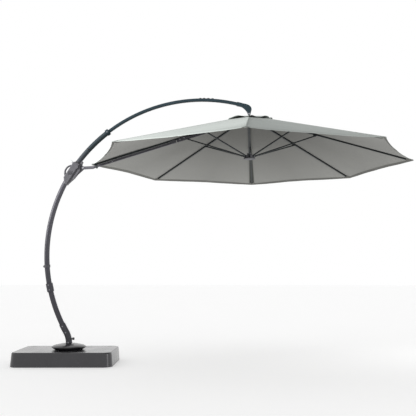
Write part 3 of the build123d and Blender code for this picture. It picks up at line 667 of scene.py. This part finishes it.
def cloth_height(x, t, spot):
    """Height of the cloth's underside: out along a rib by x, across it by t, at this spot in plan."""
    edge = x * math.tan(HALF_GORE)
    between = min(abs(t) / edge, 1.0)
    outward = min(x / (CANOPY_RADIUS * math.cos(HALF_GORE)), 1.0)
    facet = APEX_Z - RIB_RISE * (x + abs(t) * math.tan(HALF_GORE))
    hollow = SAG * (1 - (1 - between) ** 2) * outward**SAG_START * (1 - SAG_END * outward**2)
    ripple = 0.0
    for pitch, seed, height in RIPPLES:
        ripple += noise.noise(Vector((spot.x * pitch, spot.y * pitch, seed))) * height
    from_tip = math.hypot(x - CANOPY_RADIUS, t)
    pull = PULL_HEIGHT * math.exp(-from_tip / PULL_FADE) * min(from_tip / PULL_START, 1.0)
    rays = math.sin(PULL_RAYS * math.atan2(abs(t), CANOPY_RADIUS + PULL_CENTRE - x))
    return facet - hollow + (ripple + pull * rays) * between * outward + shoe_room(x, spot)


def columns_of(count):
    """Places across a gore from -1 to 1, closer together near the rib."""
    side = [(step / count) ** COLUMN_SPREAD for step in range(1, count + 1)]
    return [-each for each in reversed(side)] + [0.0] + side


def gore_grid(index, radius, scallop, rows, height, hem, drops, widths):
    """Grid of a gore centred on a rib, from the hole round the apex out to a hem that turns down."""
    _, outward, across = rib_frame(index)
    grid = []
    for row in range(rows + 3):
        in_hem = row > rows
        line = []
        for width in widths:
            turn = math.atan(abs(width) * math.tan(HALF_GORE))
            end = hem_reach(turn, radius, scallop) * math.cos(turn)
            if in_hem:
                x = end - hem * (rows + 2 - row)
            else:
                x = APEX_HOLE + (end - hem - HEM_GAP - APEX_HOLE) * (row / rows)
            t = x * width * math.tan(HALF_GORE)
            spot = CANOPY_CENTRE + outward * x + across * t
            extra = HEM_EXTRA if in_hem else 0.0
            low = height(x, t, spot)
            if row == rows + 2:
                low -= drops[0] + (drops[1] - drops[0]) * min(1.0, 4 * abs(width))
            place = (end - hem / 2 - x, t) if in_hem else (t, x / math.cos(RIB_SLOPE))
            under = Vector((spot.x, spot.y, low - extra))
            over = Vector((spot.x, spot.y, low + CLOTH + extra))
            line.append((under, over, place))
        grid.append(line)
    return grid


def squash_to_rib(piece):
    """Give the cloth piece its own copy of its mesh."""
    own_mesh(piece)


def canopy_gore(index):
    """The cloth over one rib, out to the lines halfway to the ribs beside it."""
    widths = columns_of(GORE_COLUMNS)
    grid = gore_grid(index, CANOPY_RADIUS, SCALLOP, GORE_ROWS, cloth_height, HEM_WIDTH, HEM_DROPS, widths)
    piece = layered_sheet(f"canopy_gore_{index}", grid, f"rib_{index}_body", [cloth_outside, cloth_underside_shaded])
    squash_to_rib(piece)
    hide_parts(f"canopy_panel_{index}")


def vent_height(x, t, spot):
    """Height of the vent cap's underside, which stands up in places along its edge."""
    facing = math.degrees(math.atan2(spot.y, spot.x - CANOPY_CENTRE.x)) + 90
    lift = VENT_LIFT
    for middle, rise, half_width in VENT_BUMPS:
        away = (facing - middle + 180) % 360 - 180
        lift += rise * math.exp(-((away / half_width) ** 2))
    outward = max((x - APEX_HOLE) / (VENT_RADIUS - APEX_HOLE), 0.0)
    flat = APEX_Z - RIB_RISE * (x + abs(t) * math.tan(HALF_GORE))
    return flat + CLOTH + VENT_GAP + lift * outward**VENT_CURL


def vent_gore(index):
    """Part of the small cap over the apex."""
    widths = [step / VENT_COLUMNS for step in range(-VENT_COLUMNS, VENT_COLUMNS + 1)]
    grid = gore_grid(index, VENT_RADIUS, VENT_SCALLOP, VENT_ROWS, vent_height, VENT_HEM, (0, 0), widths)
    piece = layered_sheet(f"vent_gore_{index}", grid, f"rib_{index}_body", [cloth_outside] * 2)
    squash_to_rib(piece)
    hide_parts("vent_cap")


def rib_tape(name, index, ends, half_widths, under, material):
    """Strip of cloth along a rib, above or below the canopy."""
    _, outward, across = rib_frame(index)
    grid = []
    for row in range(TAPE_ROWS + 1):
        share = row / TAPE_ROWS
        x = ends[0] + (ends[1] - ends[0]) * share
        half = half_widths[0] + (half_widths[1] - half_widths[0]) * share
        line = []
        for across_share in (-1, -0.5, 0, 0.5, 1):
            t = half * across_share
            spot = CANOPY_CENTRE + outward * x + across * t
            cloth = cloth_height(x, t, spot)
            low = cloth - TAPE if under else cloth + CLOTH + TAPE_LIFT
            arch = 0.0 if abs(across_share) == 1 or under else TAPE_ARCH
            low_point = Vector((spot.x, spot.y, low))
            high_point = Vector((spot.x, spot.y, low + TAPE - TAPE_GAP + arch))
            line.append((low_point, high_point, (t, x / math.cos(RIB_SLOPE))))
        grid.append(line)
    layered_sheet(name, grid, f"rib_{index}_body", [material] * 2)


def rib_line(index, along, below):
    """Point at this distance along a rib from its hinge and this far below it, and the rib's directions."""
    hinge, outward, _ = rib_frame(index)
    level, drop = math.cos(RIB_SLOPE), math.sin(RIB_SLOPE)
    x_dir = outward * level + Vector((0, 0, -drop))
    up = outward * drop + Vector((0, 0, level))
    return hinge + x_dir * along - up * below, x_dir, up


def tip_pocket(index):
    """Two layers of cloth sewn over and under a tip, which hold the end of the rib. Rib 1 gets only the layer
    over its tip.
    """
    _, outward, across = rib_frame(index)
    grids = {"over": [], "under": []}
    for row in range(POCKET_ROWS + 1):
        share = row / POCKET_ROWS
        x = CANOPY_RADIUS - POCKET_INSET - POCKET_REACH * (1 - share)
        edge = (CANOPY_RADIUS - x) * POCKET_TAPER + POCKET_TIP
        swell = math.sin(math.pi / 2 * min(1, (share + POCKET_START) * POCKET_GROWTH))
        half = min(edge, POCKET_NARROW + POCKET_SWELL * swell)
        fade = min(1.0, (CANOPY_RADIUS - x) / POCKET_BAG_LENGTH)
        lines = {"over": [], "under": []}
        for step in range(-POCKET_COLUMNS, POCKET_COLUMNS + 1):
            t = half * step / POCKET_COLUMNS
            spot = CANOPY_CENTRE + outward * x + across * t
            cloth = cloth_height(x, t, spot)
            bag = POCKET_DEPTH * fade * math.exp(-((t / POCKET_BAG_WIDTH) ** 4))
            lows = {"over": cloth + CLOTH + POCKET_OVER, "under": cloth - POCKET_UNDER - bag}
            for word, low in lows.items():
                high = Vector((spot.x, spot.y, low + POCKET_CLOTH))
                lines[word].append((Vector((spot.x, spot.y, low)), high, (t, x)))
        for word, line in lines.items():
            grids[word].append(line)
    layered_sheet(f"tip_pocket_over_{index}", grids["over"], f"rib_{index}_body", [cloth_hem] * 2)
    if index > 1:
        layered_sheet(f"tip_pocket_under_{index}", grids["under"], f"rib_{index}_body", [cloth_tape] * 2)


for number in range(1, RIBS + 1):
    canopy_gore(number)
    vent_gore(number)
    rib_tape(f"rib_seam_{number}", number, SEAM_SPAN, SEAM_HALF_WIDTHS, False, cloth_hem)
    if number == WIDE_BAND_RIB:
        rib_tape(f"rib_band_{number}", number, BAND_SPAN, WIDE_BAND_HALF_WIDTHS, True, cloth_band)
    else:
        rib_tape(f"rib_band_{number}", number, BAND_SPAN, BAND_HALF_WIDTHS, True, cloth_tape)
    tip_pocket(number)


# ---- fittings on rib 1 and the support arm -----------------------------------------------------------

def rib_one_plate(name, along, below, length, corner, side):
    """Plate on one side of rib 1."""
    middle, x_dir, up = rib_line(1, along, below)
    outline = rounded(length, PLATE_HEIGHT, corner)
    at = middle + Vector((0, side, 0))
    prism(name, outline, at, x_dir, up, PLATE_THICKNESS, "rib_1_body", arm_paint)


plate_middle = (PLATE_SPAN[0] + PLATE_SPAN[1]) / 2
plate_length = PLATE_SPAN[1] - PLATE_SPAN[0]
rib_one_plate("rib_1_plate_front", plate_middle, PLATE_BELOW, plate_length, PLATE_CORNER, -PLATE_SIDE)
rib_one_plate("rib_1_plate_back", plate_middle, PLATE_BELOW, plate_length, PLATE_CORNER, PLATE_SIDE)
rib_one_plate(
    "rib_1_bracket", BRACKET_ALONG, BRACKET_BELOW, BRACKET_LENGTH, BRACKET_CORNER, -BRACKET_FRONT,
)
for step, along in enumerate(BRACKET_SCREWS):
    spot, _, _ = rib_line(1, along, BRACKET_BELOW)
    head = spot + Vector((0, -BRACKET_SCREW_FRONT, 0))
    screw(f"rib_1_screw_{step + 1}", head, BRACKET_SCREW_RADIUS, "rib_1_body")

arm_low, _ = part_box("support_arm")
for step, x in enumerate(ARM_SCREWS_X):
    along = (joint("rib_1_fold")["pos_m"][0] - x) / math.cos(RIB_SLOPE)
    spot, _, _ = rib_line(1, along, ARM_SCREWS_BELOW)
    screw(f"arm_screw_{step + 1}", (spot.x, arm_low.y, spot.z), ARM_SCREW_RADIUS, "arm")


# ---- fittings on the mast, boom and base -------------------------------------------------------------

def arc_point(angle, radius=ARC_RADIUS):
    """Point on the mast's arc, and the direction outward from the arc's centre."""
    out = Vector((math.cos(math.radians(angle)), 0, math.sin(math.radians(angle))))
    return ARC_CENTRE + out * radius, out


for step, angle in enumerate(BUMPER_ANGLES):
    spot, out = arc_point(angle, ARC_RADIUS + BOOM_HALF_HEIGHT)
    lathe(f"boom_bumper_{step + 1}", BUMPER_PROFILE, spot, out, "mast", foot_rubber)

button_at, _ = arc_point(BUTTON_ANGLE)
button_at += Vector((0, -BUTTON_FRONT, 0))
lathe("mast_button", BUTTON_PROFILE, button_at, (0, -1, 0), "mast", foot_rubber)

for step, (x, z) in enumerate(FOOT_SCREWS):
    screw(f"foot_screw_{step + 1}", (x, -FOOT_SCREW_FRONT, z), FOOT_SCREW_RADIUS, "mast")


# ---- floor, light and camera -------------------------------------------------------------------------

def pale_floor():
    """Large pale floor that reaches past the horizon."""
    bpy.ops.mesh.primitive_plane_add(size=FLOOR_SIZE, location=(0, 0, 0))
    floor = bpy.context.object
    floor.name = "floor"
    material, nodes, links, bsdf = shader("floor_pale")
    cloud = noise_value(nodes, links, coordinates(nodes, links, "Object"), 0.8)
    links.new(ramp(nodes, links, cloud, (0.86, 0.86, 0.86), (0.88, 0.88, 0.88)), bsdf.inputs["Base Color"])
    bsdf.inputs["Roughness"].default_value = 0.9
    bsdf.inputs["Specular IOR Level"].default_value = 0.1
    bsdf.inputs["Emission Color"].default_value = (1, 1, 1, 1)
    bsdf.inputs["Emission Strength"].default_value = FLOOR_GLOW
    floor.data.materials.append(material)


def spot_light(name, place, target, radius, power, cone):
    """Soft spotlight at a place, turned to a target, with a cone of this many degrees."""
    data = bpy.data.lights.new(name, "SPOT")
    data.shadow_soft_size = radius
    data.energy = power
    data.spot_size = math.radians(cone)
    data.spot_blend = LAMP_BLEND
    lamp = bpy.data.objects.new(name, data)
    scene.collection.objects.link(lamp)
    lamp.location = place
    lamp.rotation_euler = (Vector(target) - Vector(place)).to_track_quat("-Z", "Y").to_euler()


def sky():
    """White surroundings, dimmer as a light than as a backdrop or in a glossy reflection."""
    world = bpy.data.worlds.new("studio")
    scene.world = world
    world.use_nodes = True
    nodes, links = world.node_tree.nodes, world.node_tree.links
    back = nodes["Background"]
    back.inputs["Color"].default_value = (1, 1, 1, 1)
    back.inputs["Strength"].default_value = WORLD_LIGHT
    seen = nodes.new("ShaderNodeBackground")
    seen.inputs["Color"].default_value = (1, 1, 1, 1)
    seen.inputs["Strength"].default_value = BACKDROP_LIGHT
    path = nodes.new("ShaderNodeLightPath")
    mix = nodes.new("ShaderNodeMixShader")
    bright = maths(nodes, links, "MAXIMUM", path.outputs["Is Camera Ray"], path.outputs["Is Glossy Ray"])
    links.new(bright, mix.inputs["Fac"])
    links.new(back.outputs["Background"], mix.inputs[1])
    links.new(seen.outputs["Background"], mix.inputs[2])
    links.new(mix.outputs["Shader"], nodes["World Output"].inputs["Surface"])


pale_floor()
sky()
for name, settings in LAMPS.items():
    spot_light(name, *settings)

camera_data = bpy.data.cameras.new("camera")
camera_data.sensor_width = CAMERA_SENSOR
camera_data.lens = CAMERA_LENS
camera = bpy.data.objects.new("camera", camera_data)
scene.collection.objects.link(camera)
camera.location = CAMERA_AT
camera.rotation_euler = (math.pi / 2 + CAMERA_UP, 0, CAMERA_LEFT)
scene.camera = camera

bpy.context.view_layer.update()
